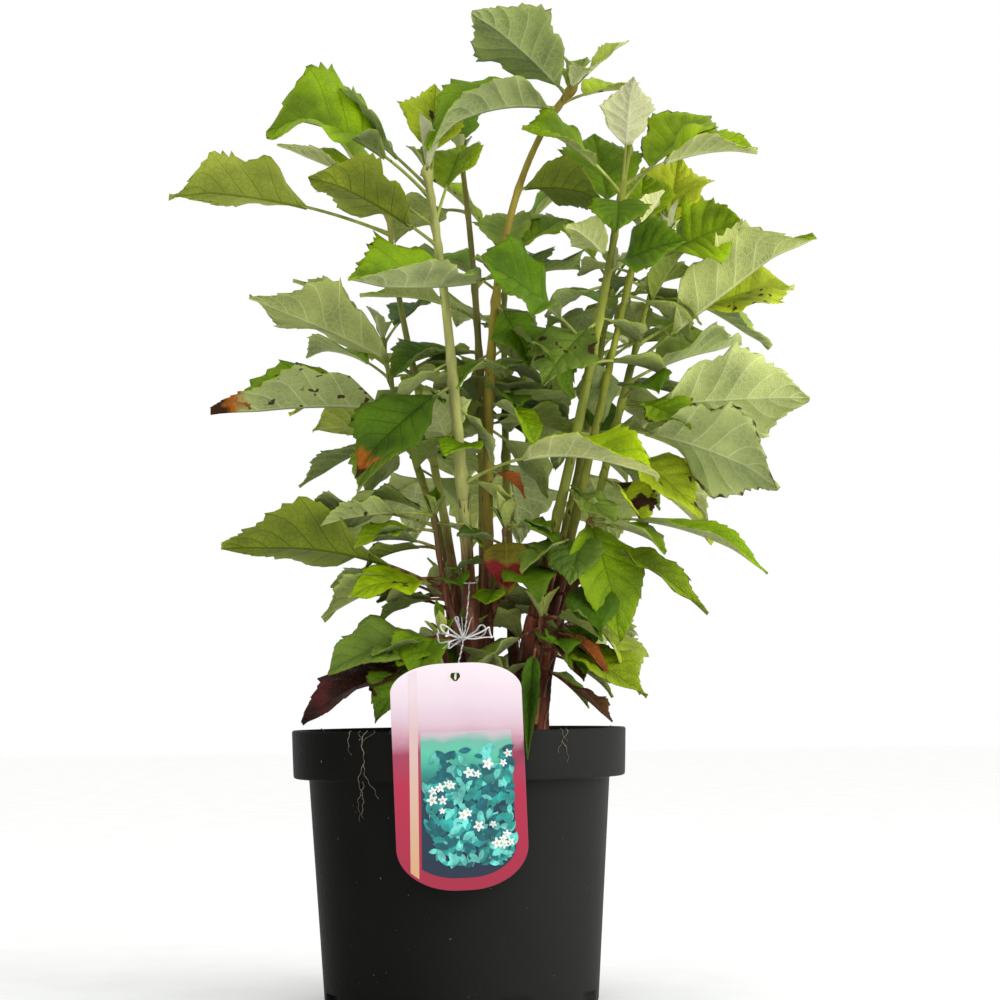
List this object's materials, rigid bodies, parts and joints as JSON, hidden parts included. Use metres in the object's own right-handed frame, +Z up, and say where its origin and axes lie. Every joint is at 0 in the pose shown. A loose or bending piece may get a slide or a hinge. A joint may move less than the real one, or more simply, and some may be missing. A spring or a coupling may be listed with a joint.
{
  "type": "hydrangea shrub",
  "caption": "Young leafy shrub with lobed, toothed leaves on upright stems, in a round plastic nursery pot with a hanging plant label.",
  "frame": {"origin": "middle of the pot's flat underside", "axes": "+Z up along the pot's axis, -Y to the front, where the label hangs, +X to the right seen from the front"},
  "size_m": [0.3748, 0.2636, 0.5587],
  "materials": {
    "pot": "matte charcoal black",
    "soil": "moist peat and bark chips",
    "label": "printed satin card in pink and green",
    "thread": "white twisted fibre",
    "bark": "reddish brown flaking bark",
    "stem": "young green-brown stem",
    "foliage": "soft leaves, pale felted undersides"
  },
  "bodies": {
    "root": {"nursery_pot": "pot", "potting_soil": "soil", "plant_label": "label", "label_tie": "thread", "stool_left": "bark", "stool_right": "bark", "bough_front_left": "stem", "bough_centre": "stem", "bough_back_centre": "stem", "bough_left": "stem", "bough_back_left": "stem", "bough_front_right": "stem", "bough_right": "stem", "bough_far_right": "stem", "bough_back_right": "stem", "bough_back": "stem", "crown_front_left": "foliage", "crown_centre": "foliage", "crown_back_centre": "foliage", "crown_left": "foliage", "crown_back_left": "foliage", "crown_front_right": "foliage", "crown_right": "foliage", "crown_far_right": "foliage", "crown_back_right": "foliage", "crown_back": "foliage", "foliage_low_left": "foliage", "foliage_lowest_left": "foliage", "foliage_low_right": "foliage", "foliage_lowest_right": "foliage", "foliage_low_front": "foliage", "foliage_low_back_left": "foliage", "foliage_low_back_right": "foliage"}
  },
  "joints": []
}
